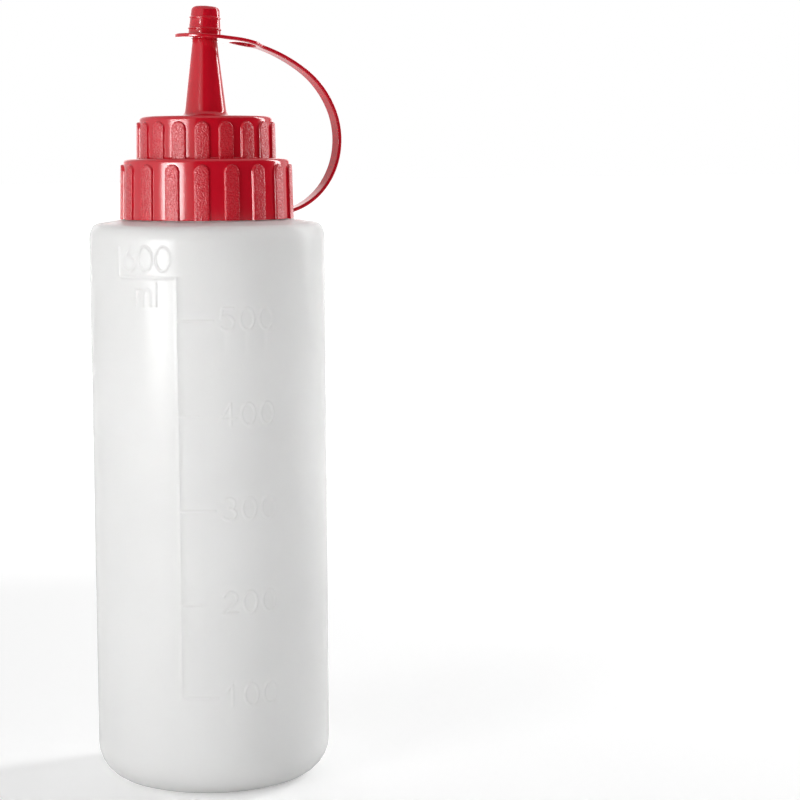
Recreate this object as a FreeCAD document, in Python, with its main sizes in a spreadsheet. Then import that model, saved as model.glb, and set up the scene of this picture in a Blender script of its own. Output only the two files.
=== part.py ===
"""Squeeze bottle: a blow-moulded bottle and its one-piece screw closure with a tethered tip cover.

Frame: origin on the bottle's axis at the plane it stands on, +Z up, +X towards the strap's loop.
Lengths are in millimetres and angles in degrees.
"""
import FreeCAD, Part
import math
import os

import Sketcher

Vector = FreeCAD.Vector

# Each driving size is written once here and kept in the sheet "Sizes".
SIZES = [
    # The bottle.
    ("body_radius", 35.0, "outside of the round body"),
    ("body_wall", 1.1, "wall of the body, the shoulder and the base"),
    ("shoulder_height", 168.0, "flat of the shoulder under the cap"),
    ("heel_radius", 10.5, "round between the body and the base"),
    ("ring_width", 1.5, "flat of the standing ring, inside the heel"),
    ("recess_inset", 3.0, "flat of the pushed-up base, in from the standing ring"),
    ("recess_height", 2.2, "rise of the pushed-up base"),
    ("recess_round", 3.0, "round at the rim of the pushed-up base"),
    ("ring_round", 1.2, "round at the inner edge of the standing ring"),
    ("shoulder_slope", 0.14935, "drop of the shoulder over its width, from the cap to its edge"),
    ("edge_inset", 1.45, "shoulder edge, in from the body"),
    ("edge_depth", 2.65, "shoulder edge, above where the body turns in"),
    ("edge_round", 2.4, "round of the shoulder edge"),
    ("edge_flat", 0.039, "straight between the edge's round and the round where the body turns in"),
    ("inner_edge_flat", 0.0085, "the same straight on the inside"),
    ("neck_radius", 22.3, "outside of the neck"),
    ("neck_wall", 1.3, "wall of the neck"),
    ("neck_root_round", 1.0, "round between the neck and the shoulder"),
    ("rim_round", 0.4, "round of the neck's rim"),
    # The closure's screw cap, in two tiers under a nozzle.
    ("skirt_gap", 0.3, "shoulder to the cap's bottom edge"),
    ("thread_room", 1.4, "bottle's neck to the inside of the lower tier"),
    ("skirt_height", 17.8, "lower tier"),
    ("skirt_taper", 0.4, "lower tier, narrower at the top than at the bottom"),
    ("tier_step", 5.15, "upper tier's foot, in from the lower tier's bottom edge"),
    ("collar_height", 12.4, "upper tier"),
    ("collar_taper", 0.2, "upper tier, narrower at the top than at its foot"),
    ("cap_wall", 1.5, "wall of both tiers"),
    ("tier_round", 1.2, "round of each tier's top edge"),
    ("step_round", 0.5, "round between the lower tier's top and the upper tier"),
    ("seal_clearance", 0.15, "plug seal to the bottle's neck"),
    ("seal_wall", 0.9, "wall of the plug seal"),
    ("seal_depth", 3.2, "plug seal below the neck's rim"),
    # The ribs.
    ("rib_count", 18, "ribs round each tier"),
    ("rib_width", 4.4, "width of a rib"),
    ("rib_rise", 0.65, "rib, proud of the tier"),
    ("rib_root", 0.7, "rib, sunk in the tier's wall"),
    ("rib_margin", 1.7, "rib's arched top to the tier's top"),
    # The nozzle.
    ("nozzle_reach", 28.5, "nozzle above the upper tier"),
    ("nozzle_foot_radius", 6.4, "nozzle where it meets the upper tier"),
    ("nozzle_tip_radius", 2.9, "nozzle at its tip"),
    ("nozzle_wall", 1.4, "wall of the nozzle"),
    ("nozzle_foot_round", 2.0, "round at the nozzle's foot"),
    # The tip cover on the nozzle, with its flange, eye and strap.
    ("cover_grip", 5.95, "nozzle's tip above the flange's underside"),
    ("tip_gap", 2.15, "nozzle's tip to the inside of the cover's top"),
    ("cover_clearance", 0.42, "nozzle to the cover's bore"),
    ("cover_tilt", 3.5, "lean of the cover towards its strap, which pulls on it"),
    ("cover_pivot", 2.0, "height above the flange's underside about which the cover leans"),
    ("cover_wall", 0.97, "wall of the cover at its flange"),
    ("cover_taper", 0.8, "cover, narrower at its top than at its flange"),
    ("cover_top_round", 1.3, "round of the cover's top edge"),
    ("cover_roof", 1.6, "thickness of the cover's top"),
    ("flange_radius", 8.9, "flange round the cover"),
    ("strap_thickness", 1.1, "flange, eye and strap"),
    ("strap_width", 4.2, "width of the strap"),
    ("eye_distance", 12.7, "cover's axis to the middle of the eye"),
    ("eye_radius", 4.0, "hole of the eye"),
    ("eye_rim", 1.35, "rim round the eye"),
    ("eye_neck_round", 4.0, "hollow round between the eye's rim and the strap"),
    ("flat_length", 6.9, "axis to where the flat flange starts to bend into the strap"),
    ("upper_bend_radius", 52.1, "inside of the strap's bend next to the eye"),
    ("upper_bend_end", 33.9, "slope of the strap at the end of that bend"),
    ("middle_bend_radius", 27.1, "inside of the strap's next bend"),
    ("middle_bend_end", 66.2, "slope of the strap at the end of that bend"),
    ("root_level", 1.9, "inside of the strap's root above the cap's bottom edge"),
    ("root_bite", 0.8, "strap's root, sunk in the skirt's wall"),
    ("blank_margin", 1.5, "spare size of the blanks that are trimmed to shape"),
]

# Each size that follows from others is worked out in the sheet "Fits".
FITS = [
    ("inner_radius", "Sizes.body_radius - Sizes.body_wall"),
    ("inner_heel_radius", "Sizes.heel_radius - Sizes.body_wall"),
    ("inner_recess_height", "Sizes.recess_height + Sizes.body_wall"),
    ("ring_radius", "Sizes.body_radius - Sizes.heel_radius - Sizes.ring_width"),
    ("recess_radius", "ring_radius - Sizes.recess_inset"),
    ("inner_ring_radius", "ring_radius + Sizes.body_wall / 2"),
    ("edge_radius", "Sizes.body_radius - Sizes.edge_inset"),
    ("edge_level", "Sizes.shoulder_height - Sizes.shoulder_slope * (edge_radius - rib_outside)"),
    ("turn_level", "edge_level - Sizes.edge_depth"),
    ("inner_edge_radius", "edge_radius - Sizes.body_wall / 2"),
    ("inner_edge_level", "edge_level - Sizes.body_wall"),
    ("inner_shoulder_height", "Sizes.shoulder_height - Sizes.body_wall"),
    # The body turns in with the largest round that the shoulder's edge leaves room for.
    ("edge_run", "sqrt(Sizes.edge_inset ^ 2 + Sizes.edge_depth ^ 2)"),
    ("edge_turn", "atan(Sizes.edge_depth / Sizes.edge_inset) - atan(Sizes.shoulder_slope)"),
    ("body_turn", "atan(Sizes.edge_inset / Sizes.edge_depth)"),
    ("edge_trim", "Sizes.edge_round * tan(edge_turn / 2)"),
    ("turn_round", "(edge_run - edge_trim - Sizes.edge_flat) / tan(body_turn / 2)"),
    ("inner_edge_inset", "inner_radius - inner_edge_radius"),
    ("inner_edge_depth", "inner_edge_level - turn_level"),
    ("inner_fall", "(inner_shoulder_height - inner_edge_level) / (inner_edge_radius - rib_outside)"),
    ("inner_edge_run", "sqrt(inner_edge_inset ^ 2 + inner_edge_depth ^ 2)"),
    ("inner_edge_turn", "atan(inner_edge_depth / inner_edge_inset) - atan(inner_fall)"),
    ("inner_body_turn", "atan(inner_edge_inset / inner_edge_depth)"),
    ("inner_edge_trim", "Sizes.edge_round * tan(inner_edge_turn / 2)"),
    ("inner_turn_round",
     "(inner_edge_run - inner_edge_trim - Sizes.inner_edge_flat) / tan(inner_body_turn / 2)"),
    ("inner_root_round", "Sizes.neck_root_round + Sizes.body_wall"),
    ("neck_bore", "Sizes.neck_radius - Sizes.neck_wall"),
    # The cap goes over the neck and its thread, and its ribs stand over the shoulder.
    ("skirt_inside", "Sizes.neck_radius + Sizes.thread_room"),
    ("skirt_radius", "skirt_inside + Sizes.cap_wall"),
    ("collar_radius", "skirt_radius - Sizes.tier_step"),
    ("rib_outside", "skirt_radius + Sizes.rib_rise"),
    # The neck's rim seats on the inside of the cap's step.
    ("cap_level", "Sizes.shoulder_height + Sizes.skirt_gap"),
    ("seat_height", "Sizes.skirt_height - Sizes.cap_wall"),
    ("rim_level", "cap_level + seat_height"),
    # The cap, measured from its bottom edge.
    ("skirt_top_radius", "skirt_radius - Sizes.skirt_taper"),
    ("skirt_top_inside", "skirt_top_radius - Sizes.cap_wall"),
    ("skirt_draft", "atan(Sizes.skirt_taper / Sizes.skirt_height)"),
    ("skirt_rib_plane", "skirt_radius - Sizes.rib_root"),
    ("skirt_rib_top", "Sizes.skirt_height - Sizes.rib_margin"),
    ("collar_inside", "collar_radius - Sizes.cap_wall"),
    ("collar_top_radius", "collar_radius - Sizes.collar_taper"),
    ("collar_top_inside", "collar_top_radius - Sizes.cap_wall"),
    ("collar_draft", "atan(Sizes.collar_taper / Sizes.collar_height)"),
    ("collar_rib_plane", "collar_radius - Sizes.rib_root"),
    ("collar_rib_top", "Sizes.collar_height - Sizes.rib_margin"),
    ("collar_top", "Sizes.skirt_height + Sizes.collar_height"),
    ("collar_ceiling", "collar_top - Sizes.cap_wall"),
    ("rib_depth", "Sizes.rib_root + Sizes.rib_rise"),
    ("rib_half_width", "Sizes.rib_width / 2"),
    ("seal_radius", "neck_bore - Sizes.seal_clearance"),
    ("seal_inside", "seal_radius - Sizes.seal_wall"),
    ("seal_bottom", "seat_height - Sizes.seal_depth"),
    ("nozzle_top", "collar_top + Sizes.nozzle_reach"),
    ("nozzle_foot_bore", "Sizes.nozzle_foot_radius - Sizes.nozzle_wall"),
    ("nozzle_tip_bore", "Sizes.nozzle_tip_radius - Sizes.nozzle_wall"),
    # The cover, measured along its own axis from its flange's underside.
    ("flange_level", "nozzle_top - Sizes.cover_grip"),
    ("pivot_level", "flange_level + Sizes.cover_pivot"),
    ("cover_height", "Sizes.cover_grip + Sizes.tip_gap + Sizes.cover_roof"),
    ("cover_top", "cover_height - Sizes.cover_pivot"),
    ("cover_foot", "Sizes.strap_thickness / 2 - Sizes.cover_pivot"),
    ("bore_ceiling", "cover_top - Sizes.cover_roof"),
    ("bore_foot", "-Sizes.cover_pivot - Sizes.blank_margin"),
    ("nozzle_slope", "(Sizes.nozzle_foot_radius - Sizes.nozzle_tip_radius) / Sizes.nozzle_reach"),
    ("bore_tip_radius", "Sizes.nozzle_tip_radius + Sizes.cover_clearance"),
    ("bore_foot_radius", "bore_tip_radius + (Sizes.cover_grip + Sizes.blank_margin) * nozzle_slope"),
    ("bore_top_radius", "bore_foot_radius - (bore_ceiling - bore_foot) * nozzle_slope"),
    ("bore_flange_radius", "bore_foot_radius - (cover_foot - bore_foot) * nozzle_slope"),
    ("cover_foot_radius", "bore_flange_radius + Sizes.cover_wall"),
    ("cover_top_radius", "cover_foot_radius - Sizes.cover_taper"),
    # The strap's inside line, in the plane through the axis, from the cap's bottom edge.
    ("axis_drop", "Sizes.cover_pivot / cos(Sizes.cover_tilt)"),
    ("line_level", "pivot_level - axis_drop"),
    ("line_start", "-Sizes.flange_radius - Sizes.blank_margin"),
    ("line_start_level", "line_level - line_start * tan(Sizes.cover_tilt)"),
    ("flat_end_level", "line_level - Sizes.flat_length * tan(Sizes.cover_tilt)"),
    ("upper_bend_reach", "Sizes.upper_bend_radius * sin(Sizes.upper_bend_end)"),
    ("middle_bend_reach", "Sizes.middle_bend_radius * sin(Sizes.middle_bend_end)"),
    ("root_end", "skirt_radius - Sizes.root_bite"),
    ("half_strap_width", "Sizes.strap_width / 2"),
    ("eye_rim_radius", "Sizes.eye_radius + Sizes.eye_rim"),
    ("blank_width", "2 * (Sizes.flange_radius + Sizes.blank_margin)"),
    ("blank_half_width", "blank_width / 2"),
    ("plan_reach", "2 * Sizes.body_radius"),
    ("plan_height", "flange_level + cover_height"),
]

doc = FreeCAD.newDocument("squeeze_bottle")


def fill_sheet(label, rows):
    """A sheet with one named value a row."""
    sheet = doc.addObject("Spreadsheet::Sheet", label)
    for row, (name, content) in enumerate(rows, 1):
        sheet.set("A%d" % row, name)
        sheet.set("B%d" % row, content)
        sheet.setAlias("B%d" % row, name)
    doc.recompute()
    return sheet


sizes = fill_sheet("Sizes", [(name, str(value)) for name, value, note in SIZES])
fits = fill_sheet("Fits", [(name, "=" + formula) for name, formula in FITS])
SIZE_NAMES = {row[0] for row in SIZES}


def cell(name):
    """The expression that names a value's cell."""
    return ("Sizes." if name in SIZE_NAMES else "Fits.") + name


def number(name):
    """A named value as it stands now, or zero where there is no name."""
    if name is None:
        return 0.0
    return float(getattr(sizes if name in SIZE_NAMES else fits, name))


def new_body(label):
    body = doc.addObject("PartDesign::Body", label)
    body.Label = label
    return body


def new_sketch(body, label, plane):
    """A sketch on one of the body's own origin planes."""
    sketch = body.newObject("Sketcher::SketchObject", label)
    origin_plane = next(item for item in body.Origin.OriginFeatures if item.Role == plane)
    sketch.AttachmentSupport = [(origin_plane, "")]
    sketch.MapMode = "FlatFace"
    return sketch


def hold(sketch, kind, *what, name=None):
    """Add a constraint, bound to a named value if it has one."""
    if name is None:
        sketch.addConstraint(Sketcher.Constraint(kind, *what))
        return
    index = sketch.addConstraint(Sketcher.Constraint(kind, *what, number(name)))
    sketch.setExpression("Constraints[%d]" % index, cell(name))


def place(sketch, piece, end, across, up):
    """Hold one end of a piece of a sketch at named distances, or on an axis where there is no name."""
    for kind, name, axis in (("DistanceX", across, -2), ("DistanceY", up, -1)):
        if name is None:
            hold(sketch, "PointOnObject", piece, end, axis)
        else:
            hold(sketch, kind, -1, 1, piece, end, name=name)


def rounded_corner(corner, before, after, radius):
    """The tangent arc at a corner, and whether it turns left."""
    arriving = (corner - before).normalize()
    leaving = (after - corner).normalize()
    turn = math.atan2(arriving.x * leaving.y - arriving.y * leaving.x, arriving.dot(leaving))
    trim = radius * math.tan(abs(turn) / 2)
    first = corner - arriving * trim
    last = corner + leaving * trim
    middle = corner + (leaving - arriving).normalize() * (radius / math.cos(turn / 2) - radius)
    return first, Part.Arc(first, middle, last), last, turn > 0


def outline(sketch, corners):
    """A closed outline through corners (across, up, round), with a round of None where sharp."""
    points = [Vector(number(across), number(up), 0) for across, up, rounding in corners]
    count = len(corners)
    starts = list(points)
    ends = list(points)
    arcs = {}
    for i, (across, up, rounding) in enumerate(corners):
        if rounding:
            after = points[(i + 1) % count]
            ends[i], arc, starts[i], left = rounded_corner(
                points[i], points[i - 1], after, number(rounding))
            arcs[i] = (arc, left)
    for i in range(count):
        sketch.addGeometry(Part.LineSegment(starts[i], ends[(i + 1) % count]), False)
    for i, (across, up, rounding) in enumerate(corners):
        before = (i - 1) % count
        if not rounding:
            hold(sketch, "Coincident", before, 2, i, 1)
            place(sketch, i, 1, across, up)
            continue
        arc, left = arcs[i]
        bend = sketch.addGeometry(arc, False)
        tip = sketch.addGeometry(Part.Point(points[i]), True)
        hold(sketch, "Tangent", before, 2, bend, 1 if left else 2)
        hold(sketch, "Tangent", bend, 2 if left else 1, i, 1)
        hold(sketch, "Radius", bend, name=rounding)
        hold(sketch, "PointOnObject", tip, 1, before)
        hold(sketch, "PointOnObject", tip, 1, i)
        place(sketch, tip, 1, across, up)


def turned(body, label, corners):
    """Turn a closed outline in the XZ plane about the Z axis."""
    sketch = new_sketch(body, label + "_outline", "XZ_Plane")
    outline(sketch, corners)
    solid = body.newObject("PartDesign::Revolution", label)
    solid.Profile = (sketch, [""])
    solid.ReferenceAxis = (sketch, ["V_Axis"])
    solid.Angle = 360
    sketch.Visibility = False
    return solid


def make_bottle():
    """One uniform wall from the pushed-up base to the neck's rim."""
    body = new_body("bottle")
    outside = [
        (None, "recess_height", None),
        ("recess_radius", "recess_height", "recess_round"),
        ("ring_radius", None, "ring_round"),
        ("body_radius", None, "heel_radius"),
        ("body_radius", "turn_level", "turn_round"),
        ("edge_radius", "edge_level", "edge_round"),
        ("rib_outside", "shoulder_height", None),
        ("neck_radius", "shoulder_height", "neck_root_round"),
        ("neck_radius", "rim_level", "rim_round"),
    ]
    inside = [
        ("neck_bore", "rim_level", "rim_round"),
        ("neck_bore", "inner_shoulder_height", "inner_root_round"),
        ("rib_outside", "inner_shoulder_height", None),
        ("inner_edge_radius", "inner_edge_level", "edge_round"),
        ("inner_radius", "turn_level", "inner_turn_round"),
        ("inner_radius", "body_wall", "inner_heel_radius"),
        ("inner_ring_radius", "body_wall", "ring_round"),
        ("recess_radius", "inner_recess_height", "recess_round"),
        (None, "inner_recess_height", None),
    ]
    turned(body, "bottle_wall", outside + inside)
    return body


def make_ribs(body, label, plane, draft, foot, top):
    """One arched rib on a tier's drafted wall, repeated all round."""
    sketch = new_sketch(body, label + "_outline", "YZ_Plane")
    sketch.AttachmentOffset = FreeCAD.Placement(
        Vector(0, number(foot), number(plane)), FreeCAD.Rotation(Vector(-1, 0, 0), number(draft)))
    sketch.setExpression("AttachmentOffset.Base.z", cell(plane))
    sketch.setExpression("AttachmentOffset.Rotation.Angle", cell(draft))
    if foot:
        sketch.setExpression("AttachmentOffset.Base.y", cell(foot))
    half = number("rib_half_width")
    spring = number(top) - half
    sketch.addGeometry(Part.LineSegment(Vector(-half, 0, 0), Vector(half, 0, 0)), False)
    sketch.addGeometry(Part.LineSegment(Vector(half, 0, 0), Vector(half, spring, 0)), False)
    arch = Part.Arc(Vector(half, spring, 0), Vector(0, number(top), 0), Vector(-half, spring, 0))
    sketch.addGeometry(arch, False)
    sketch.addGeometry(Part.LineSegment(Vector(-half, spring, 0), Vector(-half, 0, 0)), False)
    hold(sketch, "Coincident", 0, 2, 1, 1)
    hold(sketch, "Tangent", 1, 2, 2, 1)
    hold(sketch, "Tangent", 2, 2, 3, 1)
    hold(sketch, "Coincident", 3, 2, 0, 1)
    hold(sketch, "Symmetric", 0, 1, 0, 2, -1, 1)
    hold(sketch, "DistanceX", 0, 1, 0, 2, name="rib_width")
    hold(sketch, "Vertical", 1)
    hold(sketch, "PointOnObject", 2, 3, -2)
    tip = sketch.addGeometry(Part.Point(Vector(0, number(top), 0)), True)
    hold(sketch, "PointOnObject", tip, 1, 2)
    place(sketch, tip, 1, None, top)
    rib = body.newObject("PartDesign::Pad", label + "_one")
    rib.Profile = (sketch, [""])
    rib.setExpression("Length", cell("rib_depth"))
    sketch.Visibility = False
    doc.recompute()
    ring = body.newObject("PartDesign::PolarPattern", label)
    ring.Originals = [rib]
    ring.Axis = (next(item for item in body.Origin.OriginFeatures if item.Role == "Z_Axis"), [""])
    ring.Angle = 360
    ring.setExpression("Occurrences", cell("rib_count"))
    body.Tip = ring
    doc.recompute()
    return ring


def make_cap():
    """The two hollow tiers and the nozzle as one wall, with the plug seal and the ribs."""
    body = new_body("cap")
    outside = [
        ("skirt_inside", None, None),
        ("skirt_radius", None, None),
        ("skirt_top_radius", "skirt_height", "tier_round"),
        ("collar_radius", "skirt_height", "step_round"),
        ("collar_top_radius", "collar_top", "tier_round"),
        ("nozzle_foot_radius", "collar_top", "nozzle_foot_round"),
        ("nozzle_tip_radius", "nozzle_top", None),
    ]
    inside = [
        ("nozzle_tip_bore", "nozzle_top", None),
        ("nozzle_foot_bore", "collar_ceiling", None),
        ("collar_top_inside", "collar_ceiling", None),
        ("collar_inside", "seat_height", None),
        ("seal_inside", "seat_height", None),
        ("seal_inside", "seal_bottom", None),
        ("seal_radius", "seal_bottom", None),
        ("seal_radius", "seat_height", None),
        ("skirt_top_inside", "seat_height", None),
    ]
    turned(body, "cap_wall_solid", outside + inside)
    doc.recompute()
    make_ribs(body, "skirt_ribs", "skirt_rib_plane", "skirt_draft", None, "skirt_rib_top")
    make_ribs(body, "collar_ribs", "collar_rib_plane", "collar_draft", "skirt_height", "collar_rib_top")
    return body


def make_strap_ribbon():
    """A wide ribbon of the strap's thickness, bent along the strap's line."""
    body = new_body("strap_ribbon")
    path = new_sketch(body, "strap_line", "XZ_Plane")
    tilt = math.radians(number("cover_tilt"))
    start = Vector(number("line_start"), number("line_start_level"), 0)
    here = Vector(number("flat_length"), number("flat_end_level"), 0)
    path.addGeometry(Part.LineSegment(start, here), False)
    place(path, 0, 1, "line_start", "line_start_level")
    place(path, 0, 2, "flat_length", "flat_end_level")
    slope = tilt
    bends = (("upper_bend_radius", "upper_bend_end", "upper_bend_reach"),
             ("middle_bend_radius", "middle_bend_end", "middle_bend_reach"))
    for radius, end_slope, reach in bends:
        centre = here - Vector(math.sin(slope), math.cos(slope), 0) * number(radius)
        next_slope = math.radians(number(end_slope))
        half_way = (slope + next_slope) / 2
        middle = centre + Vector(math.sin(half_way), math.cos(half_way), 0) * number(radius)
        there = centre + Vector(math.sin(next_slope), math.cos(next_slope), 0) * number(radius)
        bend = path.addGeometry(Part.Arc(here, middle, there), False)
        hold(path, "Tangent", bend - 1, 2 if bend == 1 else 1, bend, 2)
        hold(path, "Radius", bend, name=radius)
        hold(path, "DistanceX", bend, 3, bend, 1, name=reach)
        here = there
        slope = next_slope
    inward = Vector(-math.sin(slope), -math.cos(slope), 0)
    root = Vector(number("root_end"), number("root_level"), 0)
    chord = root - here
    centre = here + inward * (chord.dot(chord) / (2 * chord.dot(inward)))
    from_centre = (here - centre) + (root - centre)
    radius = (root - centre).Length
    side = from_centre.normalize() if from_centre.x > 0 else -from_centre.normalize()
    lower = path.addGeometry(Part.Arc(here, centre + side * radius, root), False)
    hold(path, "Tangent", lower - 1, 1, lower, 2)
    place(path, lower, 1, "root_end", "root_level")
    section = new_sketch(body, "strap_section", "YZ_Plane")
    section.AttachmentOffset = FreeCAD.Placement(
        Vector(0, number("line_start_level"), number("line_start")),
        FreeCAD.Rotation(Vector(1, 0, 0), number("cover_tilt")))
    section.setExpression("AttachmentOffset.Base.y", cell("line_start_level"))
    section.setExpression("AttachmentOffset.Base.z", cell("line_start"))
    section.setExpression("AttachmentOffset.Rotation.Angle", cell("cover_tilt"))
    half = number("blank_half_width")
    thick = number("strap_thickness")
    ring = [Vector(-half, 0, 0), Vector(half, 0, 0), Vector(half, thick, 0), Vector(-half, thick, 0)]
    for i in range(4):
        section.addGeometry(Part.LineSegment(ring[i], ring[(i + 1) % 4]), False)
    for i in range(4):
        hold(section, "Coincident", i, 2, (i + 1) % 4, 1)
    hold(section, "Horizontal", 2)
    hold(section, "Vertical", 1)
    hold(section, "Vertical", 3)
    hold(section, "Symmetric", 0, 1, 0, 2, -1, 1)
    hold(section, "DistanceX", 0, 1, 0, 2, name="blank_width")
    hold(section, "DistanceY", 1, 1, 1, 2, name="strap_thickness")
    ribbon = body.newObject("PartDesign::AdditivePipe", "ribbon")
    ribbon.Profile = (section, [""])
    ribbon.Spine = (path, [])
    path.Visibility = False
    section.Visibility = False
    return body


def make_strap_plan():
    """What the flange, the eye and the strap cover when seen from above, as a tall block."""
    body = new_body("strap_plan")
    sketch = new_sketch(body, "half_plan", "XY_Plane")
    flange = number("flange_radius")
    rim = number("eye_rim_radius")
    eye = Vector(number("eye_distance"), 0, 0)
    half = number("half_strap_width")
    hollow = number("eye_neck_round")
    lean = math.asin((flange - rim) / eye.x)
    square = Vector(math.sin(lean), math.cos(lean), 0)
    leave_flange = square * flange
    meet_rim = eye + square * rim
    hollow_centre = Vector(eye.x + math.sqrt((rim + hollow) ** 2 - (half + hollow) ** 2), half + hollow, 0)
    leave_rim = eye + (hollow_centre - eye).normalize() * rim
    meet_strap = Vector(hollow_centre.x, half, 0)
    far = number("plan_reach")
    back = Vector(-flange, 0, 0)
    towards_back = (back + leave_flange).normalize() * flange
    over_rim = eye + ((meet_rim - eye) + (leave_rim - eye)).normalize() * rim
    across_hollow = (leave_rim - hollow_centre) + (meet_strap - hollow_centre)
    in_hollow = hollow_centre + across_hollow.normalize() * hollow
    sketch.addGeometry([
        Part.Arc(leave_flange, towards_back, back),
        Part.LineSegment(leave_flange, meet_rim),
        Part.Arc(meet_rim, over_rim, leave_rim),
        Part.Arc(leave_rim, in_hollow, meet_strap),
        Part.LineSegment(meet_strap, Vector(far, half, 0)),
        Part.LineSegment(Vector(far, half, 0), Vector(far, 0, 0)),
        Part.LineSegment(Vector(far, 0, 0), back),
    ], False)
    hold(sketch, "Coincident", 0, 3, -1, 1)
    hold(sketch, "Radius", 0, name="flange_radius")
    hold(sketch, "Tangent", 0, 1, 1, 1)
    hold(sketch, "Tangent", 1, 2, 2, 2)
    hold(sketch, "PointOnObject", 2, 3, -1)
    hold(sketch, "DistanceX", -1, 1, 2, 3, name="eye_distance")
    hold(sketch, "Radius", 2, name="eye_rim_radius")
    hold(sketch, "Tangent", 2, 1, 3, 1)
    hold(sketch, "Radius", 3, name="eye_neck_round")
    hold(sketch, "Tangent", 3, 2, 4, 1)
    hold(sketch, "Horizontal", 4)
    hold(sketch, "Coincident", 4, 2, 5, 1)
    place(sketch, 4, 2, "plan_reach", "half_strap_width")
    hold(sketch, "Vertical", 5)
    hold(sketch, "Coincident", 5, 2, 6, 1)
    hold(sketch, "PointOnObject", 5, 2, -1)
    hold(sketch, "Coincident", 6, 2, 0, 2)
    hold(sketch, "PointOnObject", 0, 2, -1)
    half_block = body.newObject("PartDesign::Pad", "half_plan_block")
    half_block.Profile = (sketch, [""])
    half_block.setExpression("Length", cell("plan_height"))
    sketch.Visibility = False
    doc.recompute()
    block = body.newObject("PartDesign::Mirrored", "plan_block")
    block.Originals = [half_block]
    block.MirrorPlane = (sketch, ["H_Axis"])
    body.Tip = block
    doc.recompute()
    hole = new_sketch(body, "eye_hole", "XY_Plane")
    hole.addGeometry(Part.Circle(eye, Vector(0, 0, 1), number("eye_radius")), False)
    hold(hole, "PointOnObject", 0, 3, -1)
    hold(hole, "DistanceX", -1, 1, 0, 3, name="eye_distance")
    hold(hole, "Radius", 0, name="eye_radius")
    eye_cut = body.newObject("PartDesign::Pocket", "eye")
    eye_cut.Profile = (hole, [""])
    eye_cut.Type = "ThroughAll"
    eye_cut.Midplane = True
    hole.Visibility = False
    return body


def make_tilted(label, corners):
    """A turned solid about the cover's own leaning axis."""
    body = new_body(label)
    turned(body, label + "_solid", corners)
    body.Placement = FreeCAD.Placement(
        Vector(0, 0, number("pivot_level")), FreeCAD.Rotation(Vector(0, 1, 0), number("cover_tilt")))
    body.setExpression("Placement.Base.z", cell("pivot_level"))
    body.setExpression("Placement.Rotation.Angle", cell("cover_tilt"))
    return body


def make_closure():
    """Cap, strap and tip cover as one moulding."""
    cap = make_cap()
    ribbon = make_strap_ribbon()
    plan = make_strap_plan()
    strap = doc.addObject("Part::MultiCommon", "strap")
    strap.Shapes = [ribbon, plan]
    cover = make_tilted("tip_cover", [
        (None, "cover_foot", None),
        ("cover_foot_radius", "cover_foot", None),
        ("cover_top_radius", "cover_top", "cover_top_round"),
        (None, "cover_top", None),
    ])
    bore = make_tilted("tip_cover_bore", [
        (None, "bore_foot", None),
        ("bore_foot_radius", "bore_foot", None),
        ("bore_top_radius", "bore_ceiling", None),
        (None, "bore_ceiling", None),
    ])
    head_blank = doc.addObject("Part::MultiFuse", "head_blank")
    head_blank.Shapes = [strap, cover]
    head = doc.addObject("Part::Cut", "head")
    head.Base = head_blank
    head.Tool = bore
    closure = doc.addObject("Part::MultiFuse", "closure")
    closure.Label = "closure"
    closure.Shapes = [cap, head]
    closure.Refine = True
    closure.setExpression("Placement.Base.z", cell("cap_level"))
    return closure


def check(subparts):
    """Stop if any feature failed or a sub-part isn't one sound solid."""
    for item in doc.Objects:
        if {"Invalid", "Error"} & set(item.State):
            raise RuntimeError("%s failed: %s" % (item.Label, item.State))
    for item in subparts:
        shape = item.Shape
        if shape.isNull() or not shape.isValid() or len(shape.Solids) != 1:
            raise RuntimeError("%s isn't one sound solid" % item.Label)


def main():
    subparts = [make_bottle(), make_closure()]
    doc.recompute()
    check(subparts)
    os.makedirs("parts", exist_ok=True)
    for item in subparts:
        box = item.Shape.BoundBox
        item.Shape.exportStep("parts/%s.step" % item.Label)
        print("%s: %.1f cm3, x %.2f to %.2f, y %.2f to %.2f, z %.2f to %.2f" % (
            item.Label, item.Shape.Volume / 1000,
            box.XMin, box.XMax, box.YMin, box.YMax, box.ZMin, box.ZMax))


main()
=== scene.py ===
"""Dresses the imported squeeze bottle: closure, moulded scale, plastics, floor, light and camera.

The frame is the CAD's: origin on the bottle's axis on the floor, +Z up, +X towards the strap's
loop. Shapes are worked out in millimetres and written to the meshes in metres.
"""

import bisect
import math

import bmesh
import bpy
import numpy as np
from mathutils import Matrix, Vector, geometry


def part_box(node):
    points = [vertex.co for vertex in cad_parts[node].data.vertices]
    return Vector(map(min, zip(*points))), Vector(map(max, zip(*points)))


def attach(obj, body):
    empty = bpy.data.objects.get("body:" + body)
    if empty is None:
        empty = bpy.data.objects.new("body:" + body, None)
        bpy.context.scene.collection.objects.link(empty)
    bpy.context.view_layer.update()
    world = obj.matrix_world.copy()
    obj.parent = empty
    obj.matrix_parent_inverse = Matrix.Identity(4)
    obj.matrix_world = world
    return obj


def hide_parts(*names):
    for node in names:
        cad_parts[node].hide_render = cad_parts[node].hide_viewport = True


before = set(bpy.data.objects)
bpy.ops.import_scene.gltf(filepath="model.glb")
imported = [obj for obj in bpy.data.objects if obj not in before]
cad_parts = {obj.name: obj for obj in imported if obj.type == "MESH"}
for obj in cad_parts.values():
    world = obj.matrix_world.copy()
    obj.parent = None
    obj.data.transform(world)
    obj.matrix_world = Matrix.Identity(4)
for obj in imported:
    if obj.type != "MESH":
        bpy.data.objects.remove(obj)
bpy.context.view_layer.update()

MM = 0.001
TURN = 2 * math.pi
# Millimetres: vertices nearer than the first are one, and lengths below the second are none.
MERGE_DISTANCE = 1e-5
NO_LENGTH = 1e-6


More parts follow.
